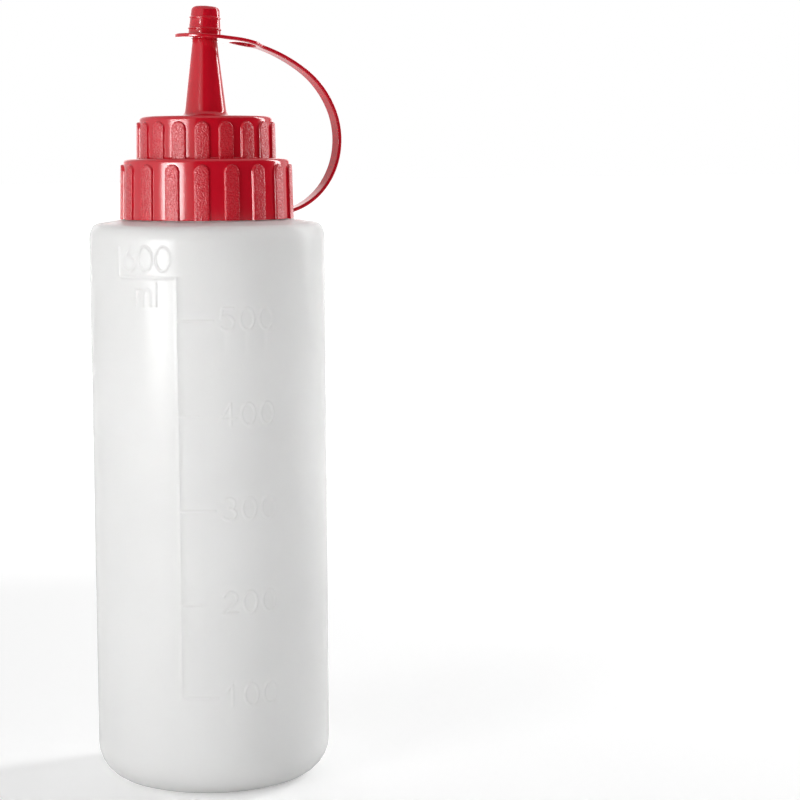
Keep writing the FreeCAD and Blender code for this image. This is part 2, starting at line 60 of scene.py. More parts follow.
# ---------------------------------------------------------------------------------------------
# Mesh helpers
# ---------------------------------------------------------------------------------------------
def add_piece(name, bm, materials, sharp=40.0):
    """A smooth-shaded object from a mesh in millimetres, riding on the one body."""
    bmesh.ops.remove_doubles(bm, verts=bm.verts, dist=MERGE_DISTANCE)
    bmesh.ops.recalc_face_normals(bm, faces=bm.faces)
    bmesh.ops.scale(bm, vec=(MM, MM, MM), verts=bm.verts)
    mesh = bpy.data.meshes.new(name)
    bm.to_mesh(mesh)
    bm.free()
    mesh.shade_smooth()
    mesh.set_sharp_from_angle(angle=math.radians(sharp))
    for material in materials:
        mesh.materials.append(material)
    piece = bpy.data.objects.new(name, mesh)
    bpy.context.collection.objects.link(piece)
    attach(piece, "root")
    return piece


def rounded(corners, steps):
    """A closed outline of (across, up) points from corners (across, up, round)."""
    points = []
    count = len(corners)
    for i, (across, up, radius) in enumerate(corners):
        corner = Vector((across, up))
        if not radius:
            points.append(corner)
            continue
        before = (Vector(corners[i - 1][:2]) - corner).normalized()
        after = (Vector(corners[(i + 1) % count][:2]) - corner).normalized()
        half = before.angle(after) / 2
        reach = radius / math.tan(half)
        centre = corner + (before + after).normalized() * (radius / math.sin(half))
        start = corner + before * reach - centre
        end = corner + after * reach - centre
        sweep = math.atan2(start.cross(end), start.dot(end))
        for k in range(steps + 1):
            points.append(centre + Matrix.Rotation(sweep * k / steps, 2) @ start)
    return points


def join_rings(bm, here, there):
    """Faces between two closed rings of vertices; a ring may be one vertex repeated."""
    count = len(here)
    for k in range(count):
        corners = [here[k], here[(k + 1) % count], there[(k + 1) % count], there[k]]
        face = list(dict.fromkeys(corners))
        if len(face) > 2:
            bm.faces.new(face)


def turn_outline(bm, points, segments, place):
    """Faces of a closed outline turned about the Z axis, then placed."""
    rings = []
    for across, up in points:
        if across < NO_LENGTH:
            rings.append([bm.verts.new(place @ Vector((0, 0, up)))] * segments)
            continue
        rings.append([
            bm.verts.new(place @ Vector((across * math.cos(TURN * k / segments),
                                         across * math.sin(TURN * k / segments), up)))
            for k in range(segments)])
    for here, there in zip(rings, rings[1:] + rings[:1]):
        join_rings(bm, here, there)


# ---------------------------------------------------------------------------------------------
# Materials
# ---------------------------------------------------------------------------------------------
# The part of a noise's range that is spread over a colour's or a value's range.
NOISE_LOW, NOISE_HIGH = 0.3, 0.7


def new_material(name):
    material = bpy.data.materials.new(name)
    material.use_nodes = True
    nodes = material.node_tree.nodes
    return material, nodes, material.node_tree.links, nodes["Principled BSDF"]


def add_node(nodes, kind, settings=(), **inputs):
    """A node with its settings and its inputs, whose names have _ for a space."""
    node = nodes.new(kind)
    for name, value in dict(settings).items():
        setattr(node, name, value)
    for name, value in inputs.items():
        node.inputs[name.replace("_", " ")].default_value = value
    return node


def object_noise(nodes, links, scale, detail):
    """Noise in the object's own coordinates, which are metres."""
    place = add_node(nodes, "ShaderNodeTexCoord")
    noise = add_node(nodes, "ShaderNodeTexNoise", Scale=scale, Detail=detail, Roughness=0.5)
    links.new(place.outputs["Object"], noise.inputs["Vector"])
    return noise


def spread(nodes, links, source, low, high, first=NOISE_LOW, last=NOISE_HIGH):
    """Maps first to last, a noise's middle range if not said, to low to high."""
    node = add_node(nodes, "ShaderNodeMapRange",
                    From_Min=first, From_Max=last, To_Min=low, To_Max=high)
    links.new(source, node.inputs["Value"])
    return node.outputs["Result"]


def tint(nodes, links, source, low, high):
    """A colour between two by a noise."""
    ramp = add_node(nodes, "ShaderNodeValToRGB")
    stops = ((NOISE_LOW, low), (NOISE_HIGH, high))
    for element, (position, colour) in zip(ramp.color_ramp.elements, stops):
        element.position = position
        element.color = (*colour, 1)
    links.new(source, ramp.inputs["Fac"])
    return ramp.outputs["Color"]


def add_bump(nodes, links, shader, source, depth, strength=1.0):
    bump = add_node(nodes, "ShaderNodeBump", Strength=strength, Distance=depth)
    links.new(source, bump.inputs["Height"])
    links.new(bump.outputs["Normal"], shader.inputs["Normal"])


def milky_plastic():
    """Low-density polyethylene: milky, lets light through, with a satin, slightly uneven skin."""
    material, nodes, links, shader = new_material("milky_polyethylene")
    shader.inputs["Transmission Weight"].default_value = 0.5
    shader.inputs["IOR"].default_value = 1.4
    shader.inputs["Coat Weight"].default_value = 0.22
    shader.inputs["Coat Roughness"].default_value = 0.17
    cloud = object_noise(nodes, links, scale=28, detail=3)
    colour = tint(nodes, links, cloud.outputs["Fac"],
                  low=(0.90, 0.90, 0.895), high=(0.93, 0.93, 0.925))
    links.new(colour, shader.inputs["Base Color"])
    skin = object_noise(nodes, links, scale=140, detail=4)
    roughness = spread(nodes, links, skin.outputs["Fac"], low=0.66, high=0.74)
    links.new(roughness, shader.inputs["Roughness"])
    add_bump(nodes, links, shader, skin.outputs["Fac"], depth=0.00006, strength=0.5)
    return material


def red_plastic(name, roughness, grain_scale, grain_depth):
    """Solid red polypropylene, polished or spark-eroded."""
    material, nodes, links, shader = new_material(name)
    shader.inputs["IOR"].default_value = 1.49
    cloud = object_noise(nodes, links, scale=60, detail=3)
    colour = tint(nodes, links, cloud.outputs["Fac"],
                  low=(0.61, 0.003, 0.016), high=(0.65, 0.005, 0.022))
    links.new(colour, shader.inputs["Base Color"])
    grain = object_noise(nodes, links, scale=grain_scale, detail=2)
    links.new(spread(nodes, links, grain.outputs["Fac"], *roughness), shader.inputs["Roughness"])
    add_bump(nodes, links, shader, grain.outputs["Fac"], depth=grain_depth)
    return material


MILKY = milky_plastic()
RED_GLOSS = red_plastic("red_polished", roughness=(0.12, 0.17),
                        grain_scale=900, grain_depth=0.000008)
RED_FROST = red_plastic("red_spark_eroded", roughness=(0.22, 0.34),
                        grain_scale=2200, grain_depth=0.00026)

# ---------------------------------------------------------------------------------------------
# Closure: cap of two tiers, nozzle, tip cover and strap
# ---------------------------------------------------------------------------------------------
bottle_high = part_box("bottle")[1] / MM
closure_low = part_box("closure")[0] / MM
BODY_RADIUS = bottle_high.x
CAP_LEVEL = closure_low.z

# Sizes that the CAD has too are the same here. Heights on the closure are above CAP_LEVEL.
NECK_RADIUS = 22.3
NECK_WALL = 1.3
CAP_WALL = 1.5
THREAD_ROOM = 1.4
SKIRT_INSIDE = NECK_RADIUS + THREAD_ROOM
SKIRT_RADIUS = SKIRT_INSIDE + CAP_WALL
SKIRT_HEIGHT = 17.8
SKIRT_TAPER = 0.4
TIER_STEP = 5.15
COLLAR_RADIUS = SKIRT_RADIUS - TIER_STEP
COLLAR_HEIGHT = 12.4
COLLAR_TAPER = 0.2
TIER_ROUND = 1.2
STEP_ROUND = 0.5
EDGE_ROUND = 0.25
COLLAR_TOP = SKIRT_HEIGHT + COLLAR_HEIGHT
SEAT = SKIRT_HEIGHT - CAP_WALL
CEILING = COLLAR_TOP - CAP_WALL
SEAL_CLEARANCE = 0.15
SEAL_RADIUS = NECK_RADIUS - NECK_WALL - SEAL_CLEARANCE
SEAL_WALL = 0.9
SEAL_DEPTH = 3.2
NOZZLE_FOOT = 6.4
NOZZLE_TIP = 2.9
NOZZLE_REACH = 28.5
NOZZLE_WALL = 1.4
NOZZLE_ROUND = 2.0
NOZZLE_TOP = COLLAR_TOP + NOZZLE_REACH


def make_cap_wall():
    """Both tiers, the nozzle and the plug seal as one turned wall."""
    outline = rounded([
        (SKIRT_INSIDE, 0, EDGE_ROUND),
        (SKIRT_RADIUS, 0, EDGE_ROUND),
        (SKIRT_RADIUS - SKIRT_TAPER, SKIRT_HEIGHT, TIER_ROUND),
        (COLLAR_RADIUS, SKIRT_HEIGHT, STEP_ROUND),
        (COLLAR_RADIUS - COLLAR_TAPER, COLLAR_TOP, TIER_ROUND),
        (NOZZLE_FOOT, COLLAR_TOP, NOZZLE_ROUND),
        (NOZZLE_TIP, NOZZLE_TOP, EDGE_ROUND),
        (NOZZLE_TIP - NOZZLE_WALL, NOZZLE_TOP, EDGE_ROUND),
        (NOZZLE_FOOT - NOZZLE_WALL, CEILING, EDGE_ROUND),
        (COLLAR_RADIUS - COLLAR_TAPER - CAP_WALL, CEILING, EDGE_ROUND),
        (COLLAR_RADIUS - CAP_WALL, SEAT, EDGE_ROUND),
        (SEAL_RADIUS - SEAL_WALL, SEAT, EDGE_ROUND),
        (SEAL_RADIUS - SEAL_WALL, SEAT - SEAL_DEPTH, EDGE_ROUND),
        (SEAL_RADIUS, SEAT - SEAL_DEPTH, EDGE_ROUND),
        (SEAL_RADIUS, SEAT, EDGE_ROUND),
        (SKIRT_RADIUS - SKIRT_TAPER - CAP_WALL, SEAT, EDGE_ROUND),
    ], steps=6)
    bm = bmesh.new()
    turn_outline(bm, outline, segments=240, place=Matrix.Translation((0, 0, CAP_LEVEL)))
    return add_piece("closure_cap", bm, [RED_GLOSS])


RIB_COUNT = 18
RIB_HALF_WIDTH = 2.2
RIB_RISE = 0.65
RIB_MARGIN = 1.7
# From the wall to a rib's middle line: in from its outline, above the wall, and whether the
# strip that ends there is frosted.
RIB_EDGE = [(-0.16, -0.05, False), (-0.10, 0.02, False), (-0.02, 0.12, False),
            (0.04, 0.34, False), (0.10, 0.50, False), (0.20, 0.61, True), (0.34, RIB_RISE, True),
            (0.90, RIB_RISE, True), (1.55, RIB_RISE, True), (RIB_HALF_WIDTH, RIB_RISE, True)]
ARCH_STEPS = 24
SIDE_STEPS = 12


def rib_line(inset, height):
    """Points (across, up) up one side of a rib's outline, over its arch and down the other."""
    half = RIB_HALF_WIDTH - inset
    spring = height - RIB_HALF_WIDTH
    left = [(-half, spring * k / SIDE_STEPS) for k in range(SIDE_STEPS)]
    angles = [math.pi * k / ARCH_STEPS for k in range(ARCH_STEPS + 1)]
    arch = [(-half * math.cos(angle), spring + half * math.sin(angle)) for angle in angles]
    right = [(-across, up) for across, up in reversed(left)]
    return left + arch + right


def make_ribs(name, wall_radius, taper, wall_height, foot):
    """Arched pads round one tier, with rounded edges and a spark-eroded face."""
    bm = bmesh.new()
    height = wall_height - RIB_MARGIN
    for rib in range(RIB_COUNT):
        middle = TURN * rib / RIB_COUNT
        loops = []
        for inset, rise, _ in RIB_EDGE:
            loop = []
            for across, up in rib_line(inset, height):
                radius = wall_radius - taper * up / wall_height + rise
                angle = middle + across / wall_radius
                loop.append(bm.verts.new((radius * math.cos(angle), radius * math.sin(angle),
                                          CAP_LEVEL + foot + up)))
            loops.append(loop)
        for (_, _, frosted), here, there in zip(RIB_EDGE[1:], loops, loops[1:]):
            for k in range(len(here) - 1):
                face = bm.faces.new((here[k], here[k + 1], there[k + 1], there[k]))
                face.material_index = int(frosted)
        end = [loop[0] for loop in loops[:-1]] + [loop[-1] for loop in reversed(loops[:-1])]
        bm.faces.new(end)
    return add_piece(name, bm, [RED_GLOSS, RED_FROST], sharp=60)


COVER_GRIP = 5.95
COVER_TILT = math.radians(3.5)
COVER_PIVOT = 2.0
COVER_CLEARANCE = 0.42
COVER_ROOF = 1.6
TIP_GAP = 2.15
COVER_HEIGHT = COVER_GRIP + TIP_GAP + COVER_ROOF
COVER_FOOT = 4.95
COVER_TOP = 4.15
COVER_TOP_ROUND = 1.35
COVER_DOME = 0.1
COVER_FIRST_RING = 1.4
# The two beads round the cover: half heights at the foot and at the crest, and the rounds.
BEAD_LEVELS = (2.95, 6.2)
BEAD_RISE = 0.26
BEAD_FOOT = 0.35
BEAD_CREST = 0.16
BEAD_ROUND = 0.12
STRAP_THICKNESS = 1.1
FLANGE_LEVEL = NOZZLE_TOP - COVER_GRIP
NOZZLE_SLOPE = (NOZZLE_FOOT - NOZZLE_TIP) / NOZZLE_REACH
FLANGE_RADIUS = 8.9
EYE_DISTANCE = 12.7
EYE_RADIUS = 4.0
EYE_RING = 1.35
EYE_RIM = EYE_RADIUS + EYE_RING
EYE_HOLLOW = 4.0
STRAP_HALF_WIDTH = 2.1
FLAT_LENGTH = 6.9
# Each bend's inside radius and the strap's slope at its end; a third bend leads to the root.
BENDS = ((52.1, math.radians(33.9)), (27.1, math.radians(66.2)))
ROOT_BITE = 0.8
ROOT_LEVEL = 1.9
ROOT = Vector((SKIRT_RADIUS - ROOT_BITE, ROOT_LEVEL))


def bore_radius(up):
    """Inside of the tip cover at a height above its flange's underside."""
    return NOZZLE_TIP + (COVER_GRIP - up) * NOZZLE_SLOPE + COVER_CLEARANCE


def make_tip_cover():
    """Stepped cup over the nozzle's tip, leaning with the strap's pull."""
    foot = STRAP_THICKNESS / 2
    ceiling = COVER_HEIGHT - COVER_ROOF

    def side(up):
        return COVER_FOOT + (COVER_TOP - COVER_FOOT) * (up - foot) / (COVER_HEIGHT - foot)

    corners = [(bore_radius(foot), foot, 0), (side(foot), foot, 0),
               (side(COVER_FIRST_RING), COVER_FIRST_RING, EDGE_ROUND)]
    for level in BEAD_LEVELS:
        crest = side(level) + BEAD_RISE
        corners += [(side(level - BEAD_FOOT), level - BEAD_FOOT, BEAD_ROUND),
                    (crest, level - BEAD_CREST, BEAD_ROUND),
                    (crest, level + BEAD_CREST, BEAD_ROUND),
                    (side(level + BEAD_FOOT), level + BEAD_FOOT, BEAD_ROUND)]
    corners += [(side(COVER_HEIGHT), COVER_HEIGHT - COVER_DOME, COVER_TOP_ROUND),
                (0, COVER_HEIGHT, 0), (0, ceiling, 0), (bore_radius(ceiling), ceiling, EDGE_ROUND)]
    place = (Matrix.Translation((0, 0, CAP_LEVEL + FLANGE_LEVEL + COVER_PIVOT))
             @ Matrix.Rotation(COVER_TILT, 4, "Y") @ Matrix.Translation((0, 0, -COVER_PIVOT)))
    bm = bmesh.new()
    turn_outline(bm, rounded(corners, steps=6), segments=96, place=place)
    return add_piece("closure_tip_cover", bm, [RED_GLOSS])


# Steps along the strap's line, and how far that line starts behind the flange.
LINE_STEP = 0.35
LINE_SPARE = 1.0


def strap_line():
    """The strap's inside line: points (x, z, slope, length from the axis) at small steps."""
    level = FLANGE_LEVEL + COVER_PIVOT - COVER_PIVOT / math.cos(COVER_TILT)
    slope = COVER_TILT
    points = []
    start = -FLANGE_RADIUS - LINE_SPARE
    here = Vector((FLAT_LENGTH, level - FLAT_LENGTH * math.tan(COVER_TILT)))
    span = (FLAT_LENGTH - start) / math.cos(COVER_TILT)
    count = math.ceil(span / LINE_STEP)
    for k in range(count):
        x = start + (FLAT_LENGTH - start) * k / count
        points.append((x, level - x * math.tan(COVER_TILT), slope, x / math.cos(COVER_TILT)))
    length = FLAT_LENGTH / math.cos(COVER_TILT)
    arcs = []
    for radius, end in BENDS:
        centre = here - Vector((math.sin(slope), math.cos(slope))) * radius
        arcs.append((centre, radius, slope, end))
        slope = end
        here = centre + Vector((math.sin(slope), math.cos(slope))) * radius
    inward = -Vector((math.sin(slope), math.cos(slope)))
    chord = ROOT - here
    radius = chord.dot(chord) / (2 * chord.dot(inward))
    centre = here + inward * radius
    last = ROOT - centre
    end = math.atan2(last.x, last.y)
    if end < slope:
        end += TURN
    arcs.append((centre, radius, slope, end))
    for centre, radius, first, end in arcs:
        count = math.ceil(radius * (end - first) / LINE_STEP)
        for k in range(count):
            angle = first + (end - first) * k / count
            spot = centre + Vector((math.sin(angle), math.cos(angle))) * radius
            points.append((spot.x, spot.y, angle, length + radius * (angle - first)))
        length += radius * (end - first)
    points.append((ROOT.x, ROOT.y, end, length))
    return points


STRAP = strap_line()
STRAP_LENGTHS = [point[3] for point in STRAP]
STRAP_END = STRAP_LENGTHS[-1]


def on_strap(length, across, up):
    """Where a point of the flat strap lies once the strap is bent."""
    after = min(max(bisect.bisect_right(STRAP_LENGTHS, length), 1), len(STRAP) - 1)
    a = STRAP[after - 1]
    b = STRAP[after]
    t = (length - a[3]) / (b[3] - a[3])
    x, z, slope = (a[i] + (b[i] - a[i]) * t for i in range(3))
    return Vector((x + math.sin(slope) * up, across, CAP_LEVEL + z + math.cos(slope) * up))


def arc_points(centre, radius, first, last, count):
    """Points on a circle, between angles in radians."""
    return [centre + Vector((math.cos(first + (last - first) * k / count),
                             math.sin(first + (last - first) * k / count))) * radius
            for k in range(count + 1)]


# Spacing along the flat strap, and how far in from the flange's back its first cut is.
STRAP_SPACING = 0.8
FIRST_CUT = 0.7


def strap_outline():
    """The flat outline of flange, eye and strap, from the flange's back round by both sides."""
    eye = Vector((EYE_DISTANCE, 0))
    lean = math.asin((FLANGE_RADIUS - EYE_RIM) / EYE_DISTANCE)
    square = math.pi / 2 - lean
    half = arc_points(Vector((0, 0)), FLANGE_RADIUS, math.pi, square, count=60)
    across = STRAP_HALF_WIDTH + EYE_HOLLOW
    hollow = Vector((EYE_DISTANCE + math.sqrt((EYE_RIM + EYE_HOLLOW) ** 2 - across ** 2), across))
    towards = math.atan2(hollow.y, hollow.x - eye.x)
    half += arc_points(eye, EYE_RIM, square, towards, count=20)
    half += arc_points(hollow, EYE_HOLLOW, math.pi + towards, 1.5 * math.pi, count=14)[1:]
    first = half[-1].x
    count = math.ceil((STRAP_END - first) / STRAP_SPACING)
    half += [Vector((first + (STRAP_END - first) * k / count, STRAP_HALF_WIDTH))
             for k in range(1, count + 1)]
    other = [Vector((p.x, -p.y)) for p in reversed(half)]
    return half + other[:-1]


HOLE_POINTS = 72


def hole(across, radius):
    """A round hole in the flat strap, run the other way round than the strap's outline."""
    angles = [TURN * k / HOLE_POINTS for k in range(HOLE_POINTS)]
    return [Vector((across + radius * math.cos(angle), radius * math.sin(angle)))
            for angle in angles]


# The least share of a corner's mitre that is divided by, so that sharp corners don't run away.
LEAST_MITRE = 0.35


def inset_loop(points, distance):
    """A closed loop moved to its right by a distance."""
    moved = []
    count = len(points)
    for i, point in enumerate(points):
        before = (point - points[i - 1]).normalized()
        after = (points[(i + 1) % count] - point).normalized()
        along = (before + after).normalized()
        right = Vector((along.y, -along.x))
        reach = distance / max(LEAST_MITRE, right.dot(Vector((before.y, -before.x))))
        moved.append(point + right * reach)
    return moved


STRAP_ROUND = 0.28
ROUND_STEPS = 4


def make_strap():
    """Flange, eye and strap as one slab with rounded edges, bent along the strap's line."""
    angles = [math.pi / 2 * k / ROUND_STEPS for k in range(ROUND_STEPS + 1)]
    levels = [(STRAP_ROUND * (1 - math.sin(angle)), STRAP_ROUND * (1 - math.cos(angle)))
              for angle in angles]
    profile = levels + [(inset, STRAP_THICKNESS - up) for inset, up in reversed(levels)]
    eye = hole(EYE_DISTANCE, EYE_RADIUS)
    bore = hole(0, bore_radius(STRAP_THICKNESS / 2))
    bm = bmesh.new()
    loops = []
    for outline in (strap_outline(), eye, bore):
        rings = [[bm.verts.new((p.x, p.y, up)) for p in inset_loop(outline, inset)]
                 for inset, up in profile]
        for here, there in zip(rings, rings[1:]):
            join_rings(bm, here, there)
        loops.append(rings)
    for side in (0, -1):
        flat = [[Vector((v.co.x, v.co.y, 0)) for v in rings[side]] for rings in loops]
        verts = [v for rings in loops for v in rings[side]]
        for triangle in geometry.tessellate_polygon(flat):
            bm.faces.new([verts[i] for i in triangle])
    cut = -FLANGE_RADIUS + FIRST_CUT
    while cut < STRAP_END:
        everything = list(bm.verts) + list(bm.edges) + list(bm.faces)
        bmesh.ops.bisect_plane(bm, geom=everything, dist=NO_LENGTH,
                               plane_co=(cut, 0, 0), plane_no=(1, 0, 0))
        cut += STRAP_SPACING
    for vert in bm.verts:
        vert.co = on_strap(*vert.co)
    return add_piece("closure_strap", bm, [RED_GLOSS], sharp=50)


closure_pieces = [
    make_cap_wall(),
    make_ribs("closure_lower_ribs", SKIRT_RADIUS, SKIRT_TAPER, SKIRT_HEIGHT, 0),
    make_ribs("closure_upper_ribs", COLLAR_RADIUS, COLLAR_TAPER, COLLAR_HEIGHT, SKIRT_HEIGHT),
    make_tip_cover(),
    make_strap(),
]
for piece in closure_pieces:
    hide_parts("closure")

# ---------------------------------------------------------------------------------------------
# Bottle: one blown wall with the moulded scale raised on it
# ---------------------------------------------------------------------------------------------
# The way the scale faces; places on the body are in millimetres round from there and up.
SCALE_FRONT = math.radians(-116.7)
RIDGE_HALF_WIDTH = 0.46
RIDGE_RISE = 0.24


def arc(x, y, across, up, first, last, count=18):
    """Points on an ellipse, between angles in degrees."""
    angles = [math.radians(first + (last - first) * k / count) for k in range(count + 1)]
    return [(x + across * math.cos(a), y + up * math.sin(a)) for a in angles]


# Strokes of each sign, as points (across, up) in a cell one wide and one high.
GLYPHS = {
    "0": [arc(0.5, 0.5, 0.46, 0.5, 90, 450, 36)],
    "1": [[(0.2, 0.76), (0.55, 1.0), (0.55, 0.0)]],
    "2": [arc(0.48, 0.7, 0.44, 0.3, 165, -28) + [(0.04, 0.0), (0.96, 0.0)]],
    "3": [arc(0.46, 0.75, 0.40, 0.25, 150, -90) + arc(0.46, 0.26, 0.46, 0.26, 90, -150)],
    "4": [[(0.66, 0.0), (0.66, 1.0), (0.02, 0.3), (0.98, 0.3)]],
    "5": [[(0.9, 1.0), (0.2, 1.0), (0.1, 0.53)] + arc(0.46, 0.33, 0.47, 0.33, 128, -145)],
    "6": [arc(0.5, 0.31, 0.46, 0.31, 0, 360, 30),
          [(0.04, 0.31), (0.10, 0.47), (0.24, 0.68), (0.62, 1.0)]],
    "m": [[(0.0, 0.0), (0.0, 1.0)], arc(0.27, 0.68, 0.25, 0.3, 180, 0, 10) + [(0.52, 0.0)],
          arc(0.77, 0.68, 0.25, 0.3, 180, 0, 10) + [(1.02, 0.0)]],
    "l": [[(0.5, 0.0), (0.5, 1.0)]],
}


def arc_mm(degrees):
    """Distance round the body from the scale's front."""
    return math.radians(degrees) * BODY_RADIUS


FIRST_MARK = 30.76
MARK_SPACING = 27.34
LOWER_MARKS = 5
TOP_MARK = 152.4
SPINE = arc_mm(-14.9)
# Ends of the ticks, which are long and short by turns, and where the numbers at them start.
TICK_ENDS = (arc_mm(1.8), arc_mm(-5.5))
DIGITS_LEFT = arc_mm(5.0)
DIGIT_SIZE = (4.4, 6.2)
DIGIT_ADVANCE = 5.9
DIGIT_LIFT = 0.5
# The frame left of the top number and under it, with its corner cut in two steps.
FRAME_LEFT = arc_mm(-46.5)
FRAME_HEIGHT = 8.6
FRAME_CORNER = 0.9
CORNER_SHARE = 0.3
TOP_DIGIT_MIDDLES = [arc_mm(degrees) for degrees in (-39.5, -30.5, -21.5)]
TOP_DIGIT_SIZE = (4.6, 7.0)
TOP_DIGIT_LIFT = 1.9
UNIT_DROP = 8.0
M_LEFT, M_SIZE = arc_mm(-36.0), (4.8, 4.8)
L_MIDDLE, L_SIZE = arc_mm(-25.0), (2.0, 6.4)


def sign_lines(sign, left, bottom, width, height):
    """A sign's strokes at its place on the body."""
    return [[(left + x * width, bottom + y * height) for x, y in stroke] for stroke in GLYPHS[sign]]


def scale_lines():
    """Lines (round the body, up) of the marks every 100 ml, their numbers and the unit."""
    cut = CORNER_SHARE * FRAME_CORNER
    lines = [[(FRAME_LEFT, TOP_MARK + FRAME_HEIGHT), (FRAME_LEFT, TOP_MARK + FRAME_CORNER),
              (FRAME_LEFT + cut, TOP_MARK + cut), (FRAME_LEFT + FRAME_CORNER, TOP_MARK),
              (SPINE, TOP_MARK), (SPINE, FIRST_MARK)]]
    for mark in range(LOWER_MARKS):
        level = FIRST_MARK + MARK_SPACING * mark
        lines.append([(SPINE, level), (TICK_ENDS[mark % 2], level)])
        for k, sign in enumerate("%d00" % (mark + 1)):
            lines += sign_lines(sign, DIGITS_LEFT + DIGIT_ADVANCE * k,
                                level - DIGIT_SIZE[1] / 2 + DIGIT_LIFT, *DIGIT_SIZE)
    for middle, sign in zip(TOP_DIGIT_MIDDLES, "600"):
        lines += sign_lines(sign, middle - TOP_DIGIT_SIZE[0] / 2, TOP_MARK + TOP_DIGIT_LIFT,
                            *TOP_DIGIT_SIZE)
    lines += sign_lines("m", M_LEFT, TOP_MARK - UNIT_DROP, *M_SIZE)
    lines += sign_lines("l", L_MIDDLE - L_SIZE[0] / 2, TOP_MARK - UNIT_DROP, *L_SIZE)
    return lines


# Each line is looked at this near itself; places near none are taken as this far from all.
LINE_MARGIN = 1.0
FAR_OFF = 10.0


def relief(round_body, up):
    """Height of the raised scale at grids of places on the body."""
    nearest = np.full(round_body.shape, FAR_OFF)
    for line in scale_lines():
        for (x0, z0), (x1, z1) in zip(line, line[1:]):
            near = ((round_body > min(x0, x1) - LINE_MARGIN)
                    & (round_body < max(x0, x1) + LINE_MARGIN)
                    & (up > min(z0, z1) - LINE_MARGIN) & (up < max(z0, z1) + LINE_MARGIN))
            dx, dz = x1 - x0, z1 - z0
            px, pz = round_body[near] - x0, up[near] - z0
            share = np.clip((px * dx + pz * dz) / (dx * dx + dz * dz), 0, 1)
            nearest[near] = np.minimum(nearest[near], np.hypot(px - share * dx, pz - share * dz))
    share = np.clip(nearest / RIDGE_HALF_WIDTH, 0, 1)
    return RIDGE_RISE * (1 - share * share) ** 2


# Heights on the bottle are above the floor.
BODY_WALL = 1.1
SHOULDER = 168.0
RIM_LEVEL = bottle_high.z
RIM_ROUND = 0.4
NECK_ROOT_ROUND = 1.0
INNER_ROOT_ROUND = 2.1
HEEL_ROUND = 10.5
RING_WIDTH = 1.5
RING_ROUND = 1.2
RING_RADIUS = BODY_RADIUS - HEEL_ROUND - RING_WIDTH
RECESS_INSET = 3.0
RECESS_ROUND = 3.0
RECESS_RADIUS = RING_RADIUS - RECESS_INSET
RECESS_HEIGHT = 2.2
EDGE_INSET = 1.45
EDGE_RADIUS = BODY_RADIUS - EDGE_INSET
SHOULDER_FALL = 1.15
SHOULDER_ROUND = 6.0
EDGE_LEVEL = SHOULDER - SHOULDER_FALL
SHOULDER_EDGE_ROUND = 2.4
EDGE_DEPTH = 2.65
TURN_LEVEL = EDGE_LEVEL - EDGE_DEPTH
TURN_ROUND = 7.0
RIB_OUTSIDE = SKIRT_RADIUS + RIB_RISE

# The fine grid under the scale: its step, its reach round the body and its reach up it.
GRID_STEP = 0.26
SCALE_SECTOR = (arc_mm(-49), arc_mm(36))
SCALE_LEVELS = (26.0, 163.0)
TOP_SPARE = 0.3
# Every so many rows and columns of it are kept where nothing is raised.
PLAIN_ROWS = 40
PLAIN_COLUMNS = 8
LEAST_STEP = 1e-4
# Points round the rest of the body, with the grid's two edges.
REST_POINTS = 64
# Slack, in millimetres, for finding where the straight body starts.
ROW_SLACK = 1e-3


def needed_lines(raised, spacing):
    """The rows of a grid of heights that differ from a neighbour, and every so many besides."""
    steps = np.abs(np.diff(raised, axis=0)).max(axis=1) > LEAST_STEP
    needed = np.zeros(len(raised), bool)
    needed[1:] |= steps
    needed[:-1] |= steps
    needed[::spacing] = True
    needed[-1] = True
    return needed


def bottle_outline():
    """The wall's outline from the axis at the base, up outside and down inside to the axis."""
    return rounded([
        (0, RECESS_HEIGHT, 0),
        (RECESS_RADIUS, RECESS_HEIGHT, RECESS_ROUND),
        (RING_RADIUS, 0, RING_ROUND),
        (BODY_RADIUS, 0, HEEL_ROUND),
        (BODY_RADIUS, TURN_LEVEL, TURN_ROUND),
        (EDGE_RADIUS, EDGE_LEVEL, SHOULDER_EDGE_ROUND),
        (RIB_OUTSIDE, SHOULDER, SHOULDER_ROUND),
        (NECK_RADIUS, SHOULDER, NECK_ROOT_ROUND),
        (NECK_RADIUS, RIM_LEVEL, RIM_ROUND),
        (NECK_RADIUS - NECK_WALL, RIM_LEVEL, RIM_ROUND),
        (NECK_RADIUS - NECK_WALL, SHOULDER - BODY_WALL, INNER_ROOT_ROUND),
        (RIB_OUTSIDE, SHOULDER - BODY_WALL, SHOULDER_ROUND),
        (EDGE_RADIUS - BODY_WALL / 2, EDGE_LEVEL - BODY_WALL, SHOULDER_EDGE_ROUND),
        (BODY_RADIUS - BODY_WALL, TURN_LEVEL, SHOULDER_EDGE_ROUND),
        (BODY_RADIUS - BODY_WALL, BODY_WALL, HEEL_ROUND - BODY_WALL),
        (RING_RADIUS + BODY_WALL / 2, BODY_WALL, RING_ROUND),
        (RECESS_RADIUS, RECESS_HEIGHT + BODY_WALL, RECESS_ROUND),
        (0, RECESS_HEIGHT + BODY_WALL, 0),
    ], steps=7)


